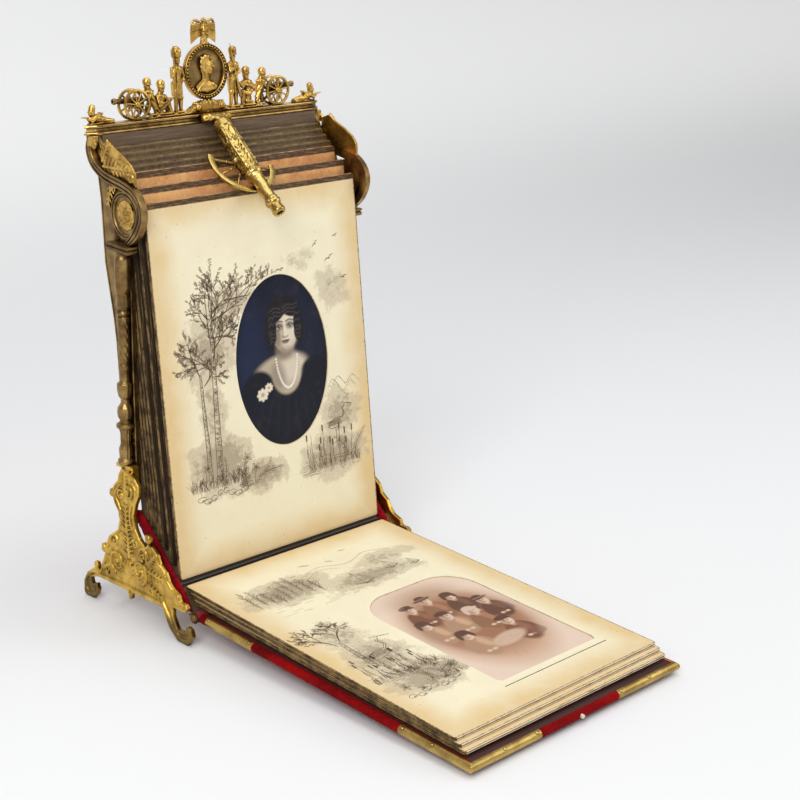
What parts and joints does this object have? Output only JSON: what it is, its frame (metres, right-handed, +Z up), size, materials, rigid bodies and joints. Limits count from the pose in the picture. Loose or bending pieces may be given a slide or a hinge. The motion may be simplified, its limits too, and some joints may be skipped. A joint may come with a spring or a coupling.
{
  "type": "easel photo album",
  "caption": "Open photo album on a cast stand: two velvet covers, hinged card leaves with photo windows, a crest of small figures and a cannon-shaped latch.",
  "frame": {"origin": "centre of the footprint on the table, at the underside of the feet", "axes": "+X across the page to the reader's right, +Y away from the reader, +Z up"},
  "size_m": [0.2454, 0.4456, 0.4725],
  "materials": {
    "gilt_casting": "gilt cast metal with worn dark recesses",
    "dark_bronze": "darkened gilt bronze",
    "brass_trim": "rolled brass, worn",
    "velvet": "red plush velvet",
    "cover_board": "grey-brown pasteboard, hidden",
    "lining_paper": "pale pink paper lining",
    "leaf_board": "cream card with brown gilt edges",
    "photo_card": "mounted photographic print",
    "black_cloth": "black book cloth",
    "hinge_cloth": "dark red cloth roll",
    "white_stud": "ivory-coloured stud"
  },
  "bodies": {
    "stand": {"foot_casting_left": "gilt_casting", "foot_casting_right": "gilt_casting", "side_board_left": "dark_bronze", "side_board_right": "dark_bronze", "column_left": "dark_bronze", "column_right": "dark_bronze", "scroll_bracket_left": "dark_bronze", "scroll_bracket_right": "dark_bronze", "side_medallion_left": "gilt_casting", "side_medallion_right": "gilt_casting", "rear_cross_bar": "dark_bronze", "spine_cradle": "dark_bronze", "frame_rivets": "gilt_casting", "crest_bar": "gilt_casting", "crest_ground": "gilt_casting", "medallion_frame": "gilt_casting", "medallion_bust": "gilt_casting", "eagle_finial": "gilt_casting", "cannon_left": "gilt_casting", "cannon_right": "gilt_casting", "cannon_wheel_left": "gilt_casting", "cannon_wheel_right": "gilt_casting", "soldier_standing_left": "gilt_casting", "soldier_standing_right": "gilt_casting", "soldier_seated": "gilt_casting", "soldier_kneeling": "gilt_casting", "gunner_left": "gilt_casting", "gunner_right": "gilt_casting", "soldier_prone_left": "gilt_casting", "soldier_prone_right": "gilt_casting", "latch_ears": "gilt_casting", "latch_pin": "dark_bronze", "back_board": "cover_board", "back_velvet": "velvet", "spine_board": "cover_board", "spine_velvet": "velvet", "spine_end_knobs": "dark_bronze", "leaf_hinge_cloths": "black_cloth", "cover_hinge_cloth": "hinge_cloth", "leaf_04": "leaf_board", "leaf_05": "leaf_board", "leaf_06": "leaf_board", "leaf_07": "leaf_board", "leaf_08": "leaf_board", "leaf_09": "leaf_board", "leaf_10": "leaf_board", "portrait_card": "photo_card"},
    "front_cover": {"front_board": "cover_board", "front_velvet": "velvet", "front_lining": "lining_paper", "cover_brass": "brass_trim", "cover_nails": "brass_trim", "cover_feet": "brass_trim", "catch_stud": "white_stud"},
    "album_leaf_01": {"leaf_01": "leaf_board"},
    "album_leaf_02": {"leaf_02": "leaf_board"},
    "album_leaf_03": {"leaf_03": "leaf_board", "group_card": "photo_card"},
    "latch": {"latch_cannon": "gilt_casting", "latch_wheel": "gilt_casting"}
  },
  "joints": [
    {"name": "front_cover_hinge", "type": "hinge", "parent": "stand", "child": "front_cover", "pos_m": [0, 0.0783, 0.0196], "axis": [-1, 0, 0], "range_deg": [0, 90]},
    {"name": "leaf_01_hinge", "type": "hinge", "parent": "stand", "child": "album_leaf_01", "pos_m": [0, 0.0873, 0.0298], "axis": [-1, 0, 0], "range_deg": [0, 90.99]},
    {"name": "leaf_02_hinge", "type": "hinge", "parent": "stand", "child": "album_leaf_02", "pos_m": [0, 0.0918, 0.0343], "axis": [-1, 0, 0], "range_deg": [0, 91.23]},
    {"name": "leaf_03_hinge", "type": "hinge", "parent": "stand", "child": "album_leaf_03", "pos_m": [0, 0.0963, 0.0388], "axis": [-1, 0, 0], "range_deg": [0, 91.47]},
    {"name": "latch_hinge", "type": "hinge", "parent": "stand", "child": "latch", "pos_m": [0, 0.16823, 0.39297], "axis": [-1, 0, 0], "range_deg": [0, 70]}
  ],
  "couplings": [
    {"joint": "leaf_01_hinge", "follows": "front_cover_hinge", "ratio": 1.0099},
    {"joint": "leaf_02_hinge", "follows": "front_cover_hinge", "ratio": 1.0126},
    {"joint": "leaf_03_hinge", "follows": "front_cover_hinge", "ratio": 1.0152}
  ]
}
